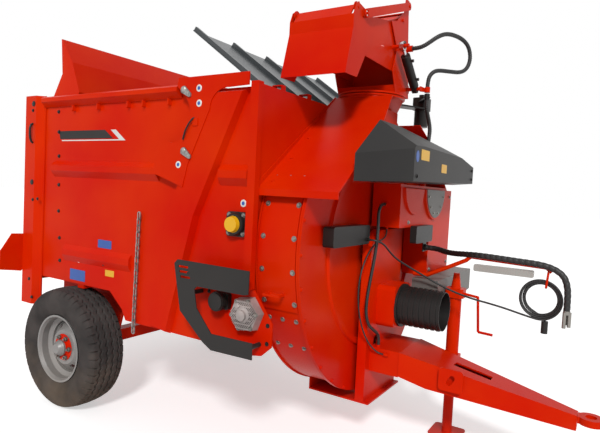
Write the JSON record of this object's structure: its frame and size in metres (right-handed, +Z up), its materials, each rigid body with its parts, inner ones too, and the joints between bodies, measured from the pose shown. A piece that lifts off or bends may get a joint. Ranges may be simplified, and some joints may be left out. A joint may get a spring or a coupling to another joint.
{
  "type": "trailed straw blower",
  "caption": "Trailed straw blower: hopper with floor conveyor and hinged tailgate, feed rotor, blower drum, swivelling spout, drawbar with hitch eye and parking jack.",
  "frame": {"origin": "On the ground, below the middle of the machine's length and width.", "axes": "+X points forward to the drawbar's eye, +Y to the machine's left, +Z up."},
  "size_m": [3.564, 2.092, 2.632],
  "materials": {
    "tyre_rubber": "matt",
    "rim_silver": "satin",
    "machine_red": "gloss",
    "plain_steel": "worn",
    "bearing_yellow": "gloss",
    "gearbox_aluminium": "cast",
    "black_paint": "satin",
    "black_plastic": "moulded",
    "sheet_plastic": "ribbed",
    "grey_plastic": "moulded",
    "lamp_red": "gloss",
    "rod_chrome": "polished",
    "zinc_plate": "galvanised",
    "hose_rubber": "matt"
  },
  "bodies": {
    "machine": {"axle_beam": "machine_red", "chassis_beams": "machine_red", "cross_bearers": "machine_red", "gate_hinge_bar": "machine_red", "hopper_floor": "machine_red", "floor_conveyor": "plain_steel", "side_panels": "machine_red", "rear_posts": "machine_red", "top_rails": "machine_red", "front_posts": "machine_red", "side_braces": "machine_red", "headboard": "machine_red", "rotor_bearings": "bearing_yellow", "drive_plates": "machine_red", "conveyor_gearbox": "gearbox_aluminium", "hydraulic_motor": "black_paint", "drive_guard_right": "black_plastic", "lamp_boards": "machine_red", "rear_lamps": "lamp_red", "drum_shell": "machine_red", "drum_front_plate": "machine_red", "drum_hatch": "machine_red", "outlet_duct": "machine_red", "hoods": "machine_red", "rotor_cover": "sheet_plastic", "cover_brackets": "machine_red", "slew_motor": "black_paint", "belt_guard": "black_plastic", "front_tower": "machine_red", "front_column": "machine_red", "pto_guard": "black_plastic", "drive_guard_left": "grey_plastic", "drawbar": "machine_red", "hitch_eye": "machine_red", "jack_tube": "machine_red", "hose_mast": "machine_red", "control_boxes": "black_paint", "storage_chain": "zinc_plate", "hose_rise": "hose_rubber", "mast_hoses": "hose_rubber", "mast_cable": "hose_rubber", "cable_coil": "hose_rubber", "down_cable": "hose_rubber", "down_hose": "hose_rubber", "hose_plugs": "plain_steel", "cable_plug": "black_plastic"},
    "wheel_right": {"tyre_right": "tyre_rubber", "rim_right": "rim_silver"},
    "wheel_left": {"tyre_left": "tyre_rubber", "rim_left": "rim_silver"},
    "rotor": {"feed_rotor": "machine_red"},
    "gate": {"tailgate": "machine_red"},
    "neck": {"chute_neck": "machine_red", "hose_loop": "hose_rubber"},
    "hood": {"chute_hood": "machine_red"},
    "flap": {"chute_flap": "machine_red"},
    "stay": {"stay_bar": "machine_red"},
    "barrel": {"ram_barrel": "black_paint"},
    "rod": {"ram_rod": "rod_chrome"},
    "leg": {"jack_leg": "machine_red"}
  },
  "joints": [
    {"name": "wheel_right_spin", "type": "hinge", "parent": "machine", "child": "wheel_right", "pos_m": [-1.18, -0.848, 0.38], "axis": [0, 1, 0], "continuous": true},
    {"name": "wheel_left_spin", "type": "hinge", "parent": "machine", "child": "wheel_left", "pos_m": [-1.18, 0.848, 0.38], "axis": [0, 1, 0], "continuous": true},
    {"name": "rotor_spin", "type": "hinge", "parent": "machine", "child": "rotor", "pos_m": [0.147, 0, 1.27], "axis": [0, 1, 0], "continuous": true},
    {"name": "tailgate_open", "type": "hinge", "parent": "machine", "child": "gate", "pos_m": [-1.725, 0, 0.8], "axis": [0, -1, 0], "range_deg": [0, 130]},
    {"name": "chute_swivel", "type": "hinge", "parent": "machine", "child": "neck", "pos_m": [0.41, 0.08, 2.052], "axis": [0, 0, 1], "range_deg": [-12, 190]},
    {"name": "chute_raise", "type": "hinge", "parent": "neck", "child": "hood", "pos_m": [0.41, 0.05, 2.492], "axis": [-1, 0, 0], "range_deg": [0, 30]},
    {"name": "flap_turn", "type": "hinge", "parent": "hood", "child": "flap", "pos_m": [0.41, -0.534, 2.385], "axis": [-1, 0, 0], "range_deg": [0, 45]},
    {"name": "stay_turn", "type": "hinge", "parent": "neck", "child": "stay", "pos_m": [0.61, 0.113, 2.593], "axis": [-1, 0, 0], "range_deg": [0, 24]},
    {"name": "ram_tilt", "type": "hinge", "parent": "neck", "child": "barrel", "pos_m": [0.648, 0.19, 2.112], "axis": [-1, 0, 0], "range_deg": [0, 2]},
    {"name": "ram_stroke", "type": "slide", "parent": "barrel", "child": "rod", "axis": [0, -0.7682, 0.6402], "range_m": [0, 0.112]},
    {"name": "jack_slide", "type": "slide", "parent": "machine", "child": "leg", "axis": [0, 0, 1], "range_m": [0, 0.22]}
  ],
  "couplings": [
    {"joint": "flap_turn", "follows": "chute_raise", "ratio": 1.4783},
    {"joint": "stay_turn", "follows": "chute_raise", "ratio": 0.7647},
    {"joint": "ram_tilt", "follows": "chute_raise", "ratio": 0.036},
    {"joint": "ram_stroke", "follows": "chute_raise", "m_per_rad": 0.2032}
  ]
}
